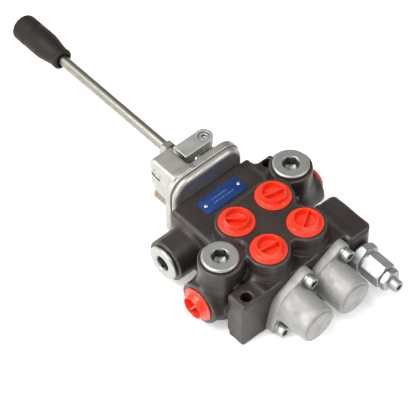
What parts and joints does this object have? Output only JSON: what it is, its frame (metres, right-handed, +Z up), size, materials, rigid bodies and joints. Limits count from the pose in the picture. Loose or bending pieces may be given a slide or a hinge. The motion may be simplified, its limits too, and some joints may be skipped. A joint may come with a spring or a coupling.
{
  "type": "hydraulic monoblock valve",
  "caption": "Two-spool hydraulic monoblock directional valve with work ports on top, spring caps, relief valve and a joystick lever.",
  "frame": {"origin": "on the bottom face, under the middle of the four work ports", "axes": "+X along the spools towards the spring caps, -X towards the joystick lever, +Z up out of the work ports"},
  "size_m": [0.3944, 0.1584, 0.0702],
  "materials": {
    "cast_iron": "satin paint over casting",
    "spool_steel": "ground",
    "seal_rubber": "matte",
    "cap_aluminium": "die cast, bead blasted",
    "zinc_screws": "zinc plated",
    "spring_steel": "drawn wire",
    "zinc_plugs": "turned, zinc plated",
    "red_plastic": "glossy, slightly translucent",
    "relief_zinc": "zinc plated",
    "blue_label": "anodised",
    "rivet_aluminium": "polished",
    "plate_aluminium": "milled",
    "housing_aluminium": "sand cast",
    "link_steel": "machined",
    "bar_steel": "flat bar, plated",
    "rod_steel": "plated",
    "grip_black": "glossy"
  },
  "bodies": {
    "valve": {"valve_body": "cast_iron", "outer_spring_seat_1": "spool_steel", "outer_spring_seat_2": "spool_steel", "spool_seals": "seal_rubber", "plug_seals": "seal_rubber", "relief_seal": "seal_rubber", "housing_gasket": "seal_rubber", "spring_cap_1": "cap_aluminium", "spring_cap_2": "cap_aluminium", "cap_screws": "zinc_screws", "cap_lock_washers": "zinc_screws", "housing_screws": "zinc_screws", "centring_spring_1": "spring_steel", "centring_spring_2": "spring_steel", "check_spring": "spring_steel", "relief_spring": "spring_steel", "steel_plugs": "zinc_plugs", "port_cap_a1": "red_plastic", "port_cap_b1": "red_plastic", "port_cap_a2": "red_plastic", "port_cap_b2": "red_plastic", "inlet_cap": "red_plastic", "outlet_cap": "red_plastic", "relief_adapter": "relief_zinc", "relief_body": "relief_zinc", "relief_lock_nut": "relief_zinc", "label_plate": "blue_label", "label_rivets": "rivet_aluminium", "adapter_plate": "plate_aluminium", "joystick_housing": "housing_aluminium"},
    "tilt_frame": {"tilt_shaft": "link_steel", "rocker_arm": "link_steel", "yoke": "link_steel", "swing_pin": "link_steel"},
    "lever": {"swing_hub": "link_steel", "swing_bar": "bar_steel", "ball_pin": "zinc_screws", "lever_lock_nut": "rod_steel", "lever_rod": "rod_steel", "grip": "grip_black"},
    "first_spool": {"spool_1": "spool_steel", "inner_spring_seat_1": "spool_steel", "spool_end_screw_1": "spool_steel"},
    "second_spool": {"spool_2": "spool_steel", "inner_spring_seat_2": "spool_steel", "spool_end_screw_2": "spool_steel", "drive_link": "link_steel"},
    "check": {"check_poppet": "spool_steel"},
    "relief": {"relief_poppet": "spool_steel"},
    "adjuster": {"relief_adjuster": "relief_zinc"}
  },
  "joints": [
    {"name": "lever_tilt", "type": "hinge", "parent": "valve", "child": "tilt_frame", "pos_m": [-0.097, 0, 0.06], "axis": [0, 1, 0], "range_deg": [-9.5, 9.5], "stiffness_Nm_per_rad": 20},
    {"name": "lever_swing", "type": "hinge", "parent": "tilt_frame", "child": "lever", "pos_m": [-0.097, 0, 0.06], "axis": [0, 0, 1], "range_deg": [-17.5, 17.5], "stiffness_Nm_per_rad": 6},
    {"name": "spool_1_slide", "type": "slide", "parent": "valve", "child": "first_spool", "axis": [1, 0, 0], "range_m": [-0.006, 0.006], "deforming": ["centring_spring_1"]},
    {"name": "spool_2_slide", "type": "slide", "parent": "valve", "child": "second_spool", "axis": [1, 0, 0], "range_m": [-0.006, 0.006], "deforming": ["centring_spring_2"]},
    {"name": "check_lift", "type": "slide", "parent": "valve", "child": "check", "axis": [0, 0, 1], "range_m": [0, 0.0012], "stiffness_N_per_m": 600, "deforming": ["check_spring"]},
    {"name": "relief_lift", "type": "slide", "parent": "valve", "child": "relief", "axis": [1, 0, 0], "range_m": [0, 0.0015], "stiffness_N_per_m": 8000, "deforming": ["relief_spring"]},
    {"name": "relief_adjust", "type": "hinge", "parent": "valve", "child": "adjuster", "pos_m": [0.088, 0.051, 0.025], "axis": [1, 0, 0], "range_deg": [-360, 360]}
  ],
  "couplings": [
    {"joint": "spool_1_slide", "follows": "lever_tilt", "m_per_rad": -0.035},
    {"joint": "spool_2_slide", "follows": "lever_swing", "m_per_rad": -0.019}
  ]
}
